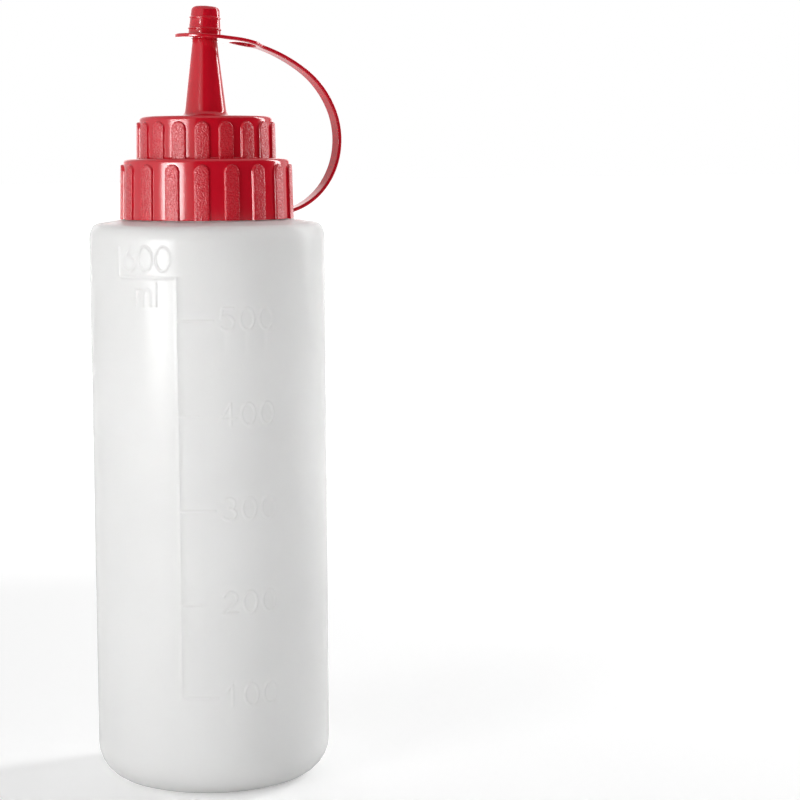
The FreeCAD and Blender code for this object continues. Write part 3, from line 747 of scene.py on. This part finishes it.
def make_bottle():
    """The turned wall of the bottle, with a fine grid where the scale is raised on it."""
    outline = bottle_outline()
    # The straight body's first point, and the first one past it.
    first = next(i for i, point in enumerate(outline)
                 if abs(point.x - BODY_RADIUS) < NO_LENGTH and point.y > HEEL_ROUND - ROW_SLACK)
    last = next(i for i in range(first + 1, len(outline))
                if outline[i].x < BODY_RADIUS - NO_LENGTH)
    low, high = outline[first].y, outline[last - 1].y
    top = min(SCALE_LEVELS[1], high - TOP_SPARE)
    levels = np.array([low, *np.arange(SCALE_LEVELS[0], top, GRID_STEP), high])
    fine = np.arange(SCALE_SECTOR[0], SCALE_SECTOR[1], GRID_STEP) / BODY_RADIUS
    raised = relief(*np.meshgrid(fine * BODY_RADIUS, levels))
    levels = levels[needed_lines(raised, PLAIN_ROWS)]
    fine = fine[needed_lines(raised.T, PLAIN_COLUMNS)]
    profile = outline[:first] + [Vector((BODY_RADIUS, level)) for level in levels] + outline[last:]
    rest = np.linspace(fine[-1], fine[0] + TURN, REST_POINTS)[1:-1]
    angles = np.concatenate([fine, rest])
    radius, up = (np.repeat([[point[axis]] for point in profile], len(angles), axis=1)
                  for axis in (0, 1))
    body_rows = slice(first, first + len(levels))
    places = np.broadcast_to(angles * BODY_RADIUS, up[body_rows].shape)
    radius[body_rows] += relief(places, up[body_rows])
    turned = angles + SCALE_FRONT
    bm = bmesh.new()
    rings = []
    for i in range(len(profile)):
        if radius[i, 0] < NO_LENGTH:
            rings.append([bm.verts.new((0, 0, up[i, 0]))] * len(angles))
            continue
        xs = radius[i] * np.cos(turned)
        ys = radius[i] * np.sin(turned)
        rings.append([bm.verts.new((x, y, z)) for x, y, z in zip(xs, ys, up[i])])
    for here, there in zip(rings, rings[1:]):
        join_rings(bm, here, there)
    return add_piece("bottle_wall", bm, [MILKY], sharp=60)


bottle = make_bottle()
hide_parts("bottle")

# ---------------------------------------------------------------------------------------------
# Floor, light and camera
# ---------------------------------------------------------------------------------------------
# The camera stands this far from the axis and up, in metres, turned this far round from -Y.
CAMERA_TURN = math.radians(26.7)
CAMERA_DISTANCE = 0.68112
CAMERA_HEIGHT = 0.18807
# Its yaw, pitch and roll are in radians.
CAMERA_YAW = 0.0841
CAMERA_PITCH = 0.1094
CAMERA_ROLL = -0.0050
FOCAL_PIXELS = 2269.84
FRAME_PIXELS = 800
SENSOR_WIDTH = 36.0


def make_camera():
    """The camera that was fitted to the photograph, without shift."""
    data = bpy.data.cameras.new("camera")
    data.sensor_width = SENSOR_WIDTH
    data.lens = FOCAL_PIXELS / FRAME_PIXELS * data.sensor_width
    data.clip_start = 0.01
    data.clip_end = 50
    camera = bpy.data.objects.new("camera", data)
    bpy.context.collection.objects.link(camera)
    forward = Vector((math.sin(CAMERA_YAW) * math.cos(CAMERA_PITCH),
                      math.cos(CAMERA_YAW) * math.cos(CAMERA_PITCH), -math.sin(CAMERA_PITCH)))
    right = Vector((math.cos(CAMERA_YAW), -math.sin(CAMERA_YAW), 0))
    up = right.cross(forward)
    rolled_right = right * math.cos(CAMERA_ROLL) + up * math.sin(CAMERA_ROLL)
    rolled_up = up * math.cos(CAMERA_ROLL) - right * math.sin(CAMERA_ROLL)
    turn = Matrix.Rotation(-CAMERA_TURN, 3, "Z")
    axes = [turn @ axis for axis in (rolled_right, rolled_up, -forward)]
    place = Matrix(axes).transposed().to_4x4()
    place.translation = turn @ Vector((0, -CAMERA_DISTANCE, CAMERA_HEIGHT))
    camera.matrix_world = place
    bpy.context.scene.camera = camera


def combine(nodes, links, operation, first, second):
    """The sum, product or the like of two values."""
    node = add_node(nodes, "ShaderNodeMath", {"operation": operation})
    links.new(first, node.inputs[0])
    links.new(second, node.inputs[1])
    return node.outputs["Value"]


def seen_background(nodes, links):
    """1 where the camera, gloss or a clear part sees the background, and 0 elsewhere."""
    rays = add_node(nodes, "ShaderNodeLightPath").outputs
    seen = combine(nodes, links, "MAXIMUM", rays["Is Camera Ray"], rays["Is Glossy Ray"])
    return combine(nodes, links, "MAXIMUM", seen, rays["Is Transmission Ray"])


def add_backdrop(name, bm):
    """An object of the set from a mesh in metres."""
    mesh = bpy.data.meshes.new(name)
    bm.to_mesh(mesh)
    bm.free()
    backdrop = bpy.data.objects.new(name, mesh)
    bpy.context.collection.objects.link(backdrop)
    return backdrop


def matt_material(name, scale, low, high, **inputs):
    """A matt material with a faint grain between two colours."""
    material, nodes, links, shader = new_material(name)
    for socket, value in inputs.items():
        shader.inputs[socket.replace("_", " ")].default_value = value
    grain = object_noise(nodes, links, scale=scale, detail=2)
    links.new(tint(nodes, links, grain.outputs["Fac"], low, high), shader.inputs["Base Color"])
    return material, nodes, links, shader


FLOOR_HALF_SIZE = 12
# The floor lies a little under the base, so that the two never share a plane.
FLOOR_DROP = 0.0001
# Strength of the floor's own white at these distances from the axis, in metres.
FLOOR_NEAR, FLOOR_NEAR_LIFT = 0.3, 0.24
FLOOR_FAR, FLOOR_FAR_LIFT = 0.7, 0.75


def make_floor():
    """A wide pale floor, lifted where it is seen as background, with the object's shadow kept."""
    bm = bmesh.new()
    bmesh.ops.create_grid(bm, x_segments=1, y_segments=1, size=FLOOR_HALF_SIZE)
    floor = add_backdrop("floor", bm)
    floor.location.z = -FLOOR_DROP
    material, nodes, links, shader = matt_material(
        "floor_paper", scale=300, low=(0.90, 0.90, 0.90), high=(0.93, 0.93, 0.93),
        Roughness=0.9, Specular_IOR_Level=0.1)
    shader.inputs["Emission Color"].default_value = (1, 1, 1, 1)
    place = add_node(nodes, "ShaderNodeTexCoord")
    reach = add_node(nodes, "ShaderNodeVectorMath", {"operation": "LENGTH"})
    links.new(place.outputs["Object"], reach.inputs[0])
    brighter = spread(nodes, links, reach.outputs["Value"], FLOOR_NEAR_LIFT, FLOOR_FAR_LIFT,
                      first=FLOOR_NEAR, last=FLOOR_FAR)
    lift = combine(nodes, links, "MULTIPLY", seen_background(nodes, links), brighter)
    links.new(lift, shader.inputs["Emission Strength"])
    floor.data.materials.append(material)


# Strength of the white world as light on the object, and where it is seen as background.
WORLD_FILL = 0.37
WORLD_SEEN = 1.0


def make_world():
    """White to the camera and in reflections, plain grey fill on the object."""
    world = bpy.data.worlds.new("studio")
    world.use_nodes = True
    nodes = world.node_tree.nodes
    links = world.node_tree.links
    background = nodes["Background"]
    background.inputs["Color"].default_value = (1, 1, 1, 1)
    strength = add_node(nodes, "ShaderNodeMapRange", To_Min=WORLD_FILL, To_Max=WORLD_SEEN)
    links.new(seen_background(nodes, links), strength.inputs["Value"])
    links.new(strength.outputs["Result"], background.inputs["Strength"])
    bpy.context.scene.world = world


LAMP_AIM = Vector((0, 0, 0.13))


def add_softbox(name, azimuth, distance, height, size, watts):
    """An area lamp turned to the object's middle; azimuth counts rightwards from the camera."""
    data = bpy.data.lights.new(name, "AREA")
    data.shape = "RECTANGLE"
    data.size, data.size_y = size
    data.energy = watts
    lamp = bpy.data.objects.new(name, data)
    bpy.context.collection.objects.link(lamp)
    angle = math.radians(azimuth) - CAMERA_TURN
    lamp.location = (distance * math.sin(angle), -distance * math.cos(angle), height)
    aim = LAMP_AIM - lamp.location
    lamp.rotation_euler = aim.to_track_quat("-Z", "Y").to_euler()
    lamp.visible_camera = False
    return lamp


# The cloth's radius and height in metres, and where it starts and ends, rightwards from the
# camera.
FLAG_RADIUS = 1.6
FLAG_HEIGHT = 1.6
FLAG_START = math.radians(-18)
FLAG_END = math.radians(125)
FLAG_STEPS = 24


def make_flag():
    """A black cloth round the front and right of the set, which gloss alone sees."""
    bm = bmesh.new()
    rows = []
    for k in range(FLAG_STEPS + 1):
        angle = FLAG_START + (FLAG_END - FLAG_START) * k / FLAG_STEPS - CAMERA_TURN
        x, y = FLAG_RADIUS * math.sin(angle), -FLAG_RADIUS * math.cos(angle)
        rows.append([bm.verts.new((x, y, z)) for z in (0, FLAG_HEIGHT)])
    for here, there in zip(rows, rows[1:]):
        bm.faces.new((here[0], there[0], there[1], here[1]))
    flag = add_backdrop("black_flag", bm)
    material = matt_material(
        "black_cloth", scale=500, low=(0.02, 0.02, 0.02), high=(0.03, 0.03, 0.03),
        Roughness=1.0, Specular_IOR_Level=0.0)[0]
    flag.data.materials.append(material)
    flag.visible_camera = False
    flag.visible_diffuse = False
    flag.visible_transmission = False
    flag.visible_shadow = False


# Name, azimuth in degrees, distance, height, (width, height of the lamp) in metres and watts.
LAMPS = [
    ("key_softbox", -46, 1.0, 0.18, (0.26, 0.34), 3.4),
    ("key_sheen", -47, 1.02, 0.20, (0.58, 0.34), 11.0),
    ("left_panel", -80, 1.2, 0.27, (0.95, 0.50), 0.5),
    ("small_lamp", -36, 1.0, 0.51, (0.05, 0.05), 0.5),
    ("right_strip", 115, 0.9, 0.45, (0.20, 0.70), 5.5),
    ("back_softbox", 180, 1.2, 0.45, (1.3, 0.9), 4.0),
]

make_camera()
make_floor()
make_world()
make_flag()
lamps = {lamp[0]: add_softbox(*lamp) for lamp in LAMPS}
# The sheen shows in gloss alone.
lamps["key_sheen"].visible_diffuse = False
lamps["key_sheen"].visible_transmission = False

scene = bpy.context.scene
scene.view_settings.view_transform = "Standard"
